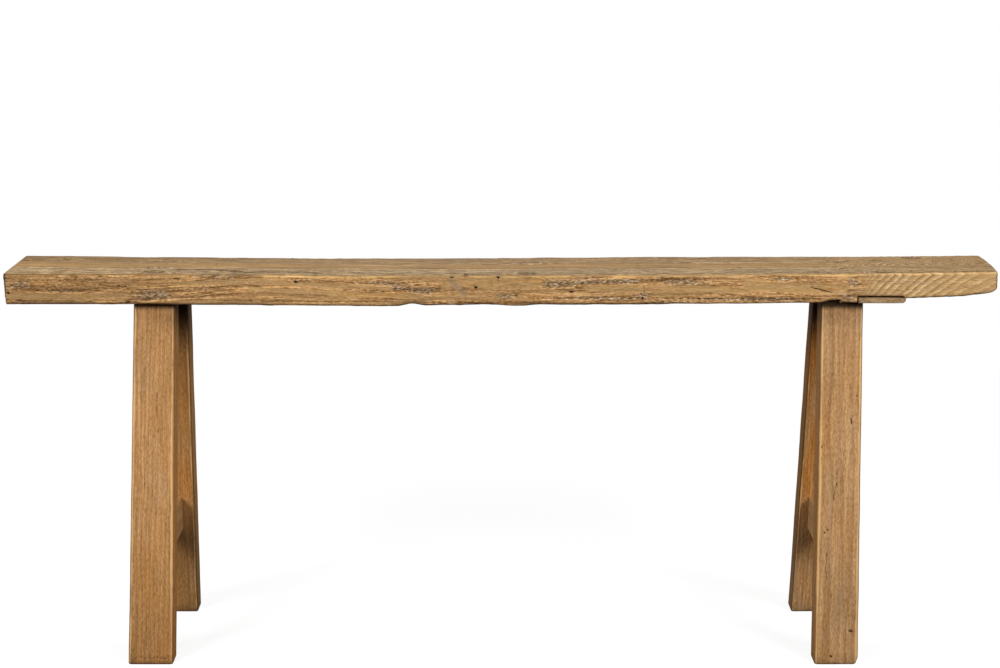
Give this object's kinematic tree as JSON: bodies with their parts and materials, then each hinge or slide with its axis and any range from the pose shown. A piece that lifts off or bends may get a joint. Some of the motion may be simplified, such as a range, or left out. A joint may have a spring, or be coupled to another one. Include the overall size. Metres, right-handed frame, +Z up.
{
  "type": "noodle bench",
  "caption": "Narrow free-standing bench of weathered wood: a long plank seat on splayed, wedged legs, tied at each end by a low pegged stretcher.",
  "frame": {"origin": "on the floor, under the middle of the seat", "axes": "+X along the seat to the right of a person who faces the front, -Y to the front, +Z up"},
  "size_m": [1.2, 0.247, 0.475],
  "materials": {
    "seat_wood": "old brushed softwood, weathered, dull",
    "leg_wood": "old planed softwood with worn light edges, dull",
    "stretcher_wood": "old planed softwood, dull",
    "strip_wood": "sawn softwood, dull",
    "peg_wood": "split hardwood, dull",
    "nail_iron": "rusted iron"
  },
  "bodies": {
    "root": {"seat_plank": "seat_wood", "front_left_leg": "leg_wood", "front_right_leg": "leg_wood", "rear_left_leg": "leg_wood", "rear_right_leg": "leg_wood", "front_left_tenon_wedge": "peg_wood", "front_right_tenon_wedge": "peg_wood", "rear_left_tenon_wedge": "peg_wood", "rear_right_tenon_wedge": "peg_wood", "left_stretcher": "stretcher_wood", "right_stretcher": "stretcher_wood", "front_left_stretcher_peg": "peg_wood", "front_right_stretcher_peg": "peg_wood", "rear_left_stretcher_peg": "peg_wood", "rear_right_stretcher_peg": "peg_wood", "packing_strip": "strip_wood", "packing_strip_nails": "nail_iron"}
  },
  "joints": []
}
